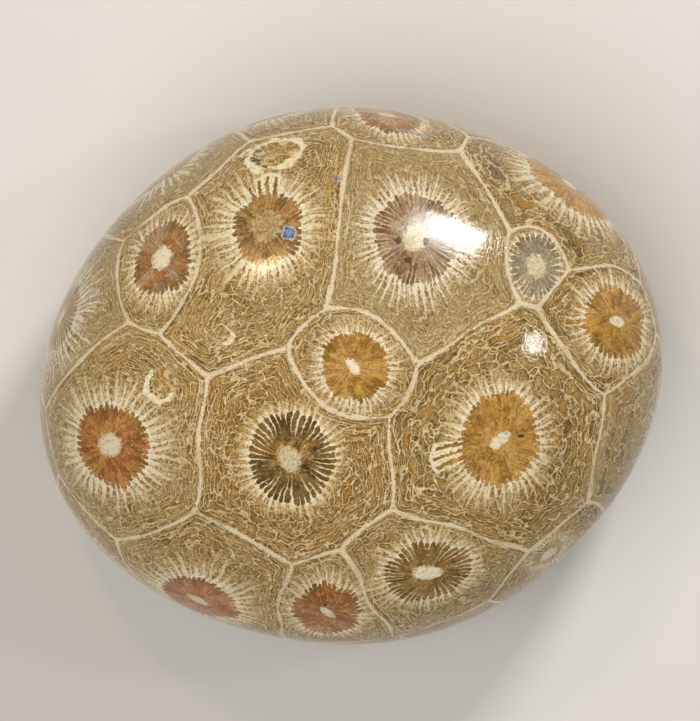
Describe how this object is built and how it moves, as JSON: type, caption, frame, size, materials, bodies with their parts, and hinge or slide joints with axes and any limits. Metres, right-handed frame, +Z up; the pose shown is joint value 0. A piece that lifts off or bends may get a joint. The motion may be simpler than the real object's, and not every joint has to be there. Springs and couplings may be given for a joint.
{
  "type": "fossil coral head",
  "caption": "Polished fossil coral head: a domed oval stone of honeycombed coral, cut flat underneath so that it rests on a shelf or desk.",
  "frame": {"origin": "middle of the stone's plan box, on the flat cut base it rests on", "axes": "+Z up, out of the crown of the dome; +X along the stone's long way; +Y along its short way"},
  "size_m": [0.0882, 0.0762, 0.044],
  "materials": {
    "polished_coral": "polished fossil coral, honey to olive brown, with cream walls between the corallites and rust, amber or dark brown centres"
  },
  "bodies": {
    "root": {"coral_head": "polished_coral"}
  },
  "joints": []
}
